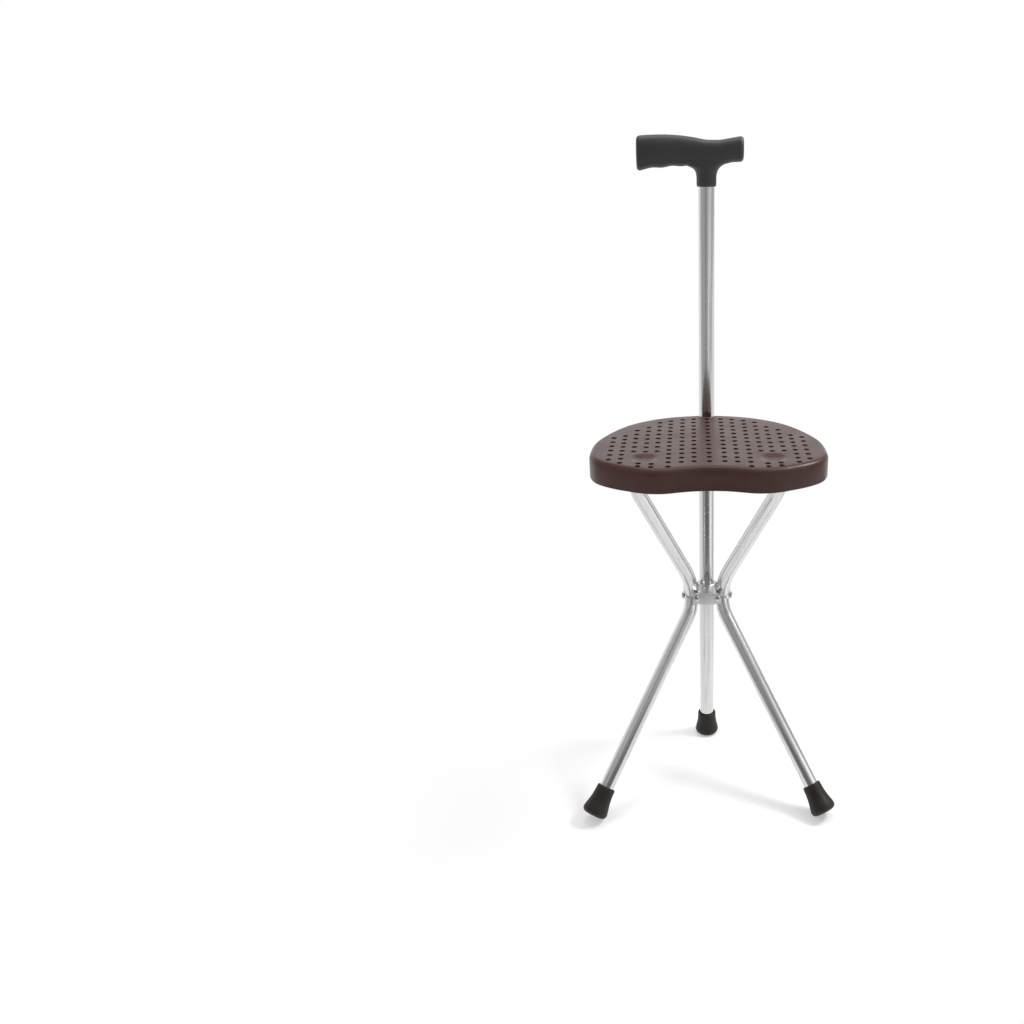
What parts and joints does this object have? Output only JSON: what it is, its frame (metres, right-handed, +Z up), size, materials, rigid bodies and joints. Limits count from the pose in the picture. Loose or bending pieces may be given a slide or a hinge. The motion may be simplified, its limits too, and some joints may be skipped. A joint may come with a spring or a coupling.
{
  "type": "walking stick seat",
  "caption": "Folding walking stick seat: a T-handled stick with a perforated seat that opens on splayed front legs.",
  "frame": {"origin": "centre of the underside of the rear foot, on the floor", "axes": "+Z up along the stick, the seat and front legs reach to -Y, the long end of the handle points to -X"},
  "size_m": [0.3326, 0.2513, 0.8555],
  "materials": {
    "aluminium": "polished tube",
    "black_plastic": "satin moulded",
    "black_rubber": "matte",
    "black_steel": "black satin paint",
    "steel": "bright",
    "seat_plastic": "satin, fine grain"
  },
  "bodies": {
    "shaft": {"main_tube": "aluminium", "handle": "black_plastic", "rear_ferrule": "black_rubber", "rear_ferrule_disc": "steel", "latch_bar": "black_steel", "latch_rivet": "steel", "upper_stud": "steel"},
    "hub": {"hub_saddle": "steel", "hub_yoke": "steel", "hub_front_plate": "steel", "front_plate_rivet_left": "steel", "front_plate_rivet_right": "steel", "hub_axle": "steel", "hub_washer_left": "steel", "hub_washer_right": "steel"},
    "strut_left": {"upper_strut_left": "aluminium", "strut_pin_left": "steel"},
    "strut_right": {"upper_strut_right": "aluminium", "strut_pin_right": "steel"},
    "leg_left": {"lower_leg_left": "aluminium", "ferrule_left": "black_rubber", "ferrule_disc_left": "steel"},
    "leg_right": {"lower_leg_right": "aluminium", "ferrule_right": "black_rubber", "ferrule_disc_right": "steel"},
    "seat": {"seat_shell": "seat_plastic", "seat_channel": "black_steel", "bracket_left": "black_steel", "bracket_right": "black_steel", "bracket_screw_left_rear": "steel", "bracket_screw_left_front": "steel", "bracket_screw_right_rear": "steel", "bracket_screw_right_front": "steel", "channel_screw_rear": "steel", "channel_screw_middle": "steel", "channel_screw_front": "steel"}
  },
  "joints": [
    {"name": "fold", "type": "slide", "parent": "shaft", "child": "hub", "axis": [0, 0, 1], "range_m": [0, 0.055]},
    {"name": "strut_left_turn", "type": "hinge", "parent": "hub", "child": "strut_left", "pos_m": [0, -0.021, 0.2416], "axis": [1, 0, 0], "range_deg": [-25.59, 0]},
    {"name": "strut_right_turn", "type": "hinge", "parent": "hub", "child": "strut_right", "pos_m": [0, -0.021, 0.2416], "axis": [1, 0, 0], "range_deg": [-25.59, 0]},
    {"name": "leg_left_turn", "type": "hinge", "parent": "hub", "child": "leg_left", "pos_m": [0, -0.021, 0.2416], "axis": [1, 0, 0], "range_deg": [0, 26.62]},
    {"name": "leg_right_turn", "type": "hinge", "parent": "hub", "child": "leg_right", "pos_m": [0, -0.021, 0.2416], "axis": [1, 0, 0], "range_deg": [0, 26.62]},
    {"name": "seat_turn", "type": "hinge", "parent": "strut_left", "child": "seat", "pos_m": [-0.0885, -0.125, 0.459], "axis": [1, 0, 0], "range_deg": [0, 115.59]}
  ],
  "couplings": [
    {"joint": "strut_left_turn", "follows": "fold", "rad_per_m": -8.1128},
    {"joint": "strut_right_turn", "follows": "fold", "rad_per_m": -8.1128},
    {"joint": "leg_left_turn", "follows": "fold", "rad_per_m": 8.441},
    {"joint": "leg_right_turn", "follows": "fold", "rad_per_m": 8.441},
    {"joint": "seat_turn", "follows": "fold", "rad_per_m": 36.673}
  ]
}
